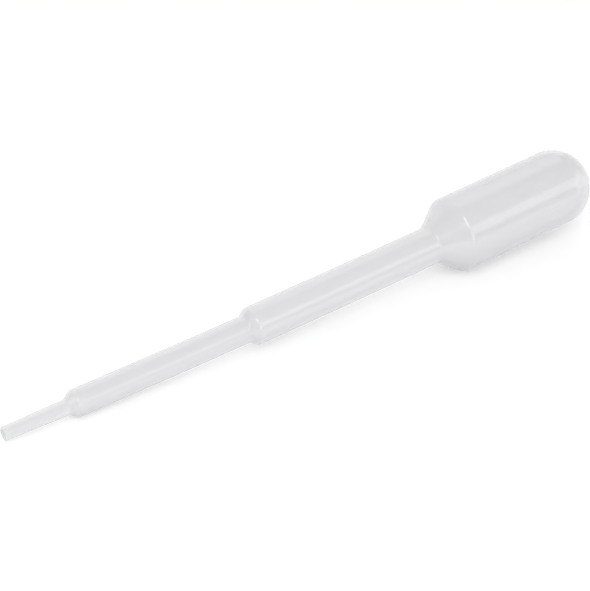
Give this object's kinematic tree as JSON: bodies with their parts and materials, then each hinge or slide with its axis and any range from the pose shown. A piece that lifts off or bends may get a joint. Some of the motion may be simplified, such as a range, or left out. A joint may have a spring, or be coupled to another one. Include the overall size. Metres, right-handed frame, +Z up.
{
  "type": "plastic dropper pipette",
  "caption": "Squeeze dropper pipette of soft milky plastic: a round-ended bulb on a stem that steps down to a thin open tip, lying on its side.",
  "frame": {"origin": "on the surface that the pipette lies on, under the middle of its box", "axes": "+X along the pipette from the open tip to the round end of the bulb, along the line from the mouth to the round end; +Z up from the surface it lies on; its slight bow lies in a plane through the X axis that is rolled 10 degrees out of level, with the hollow of the bow to +Y and both of its ends a little lower than its middle"},
  "size_m": [0.1382, 0.0168, 0.0173],
  "materials": {
    "milky_plastic": "smooth waxy translucent soft plastic, as moulded"
  },
  "bodies": {
    "root": {"pipette": "milky_plastic"}
  },
  "joints": []
}
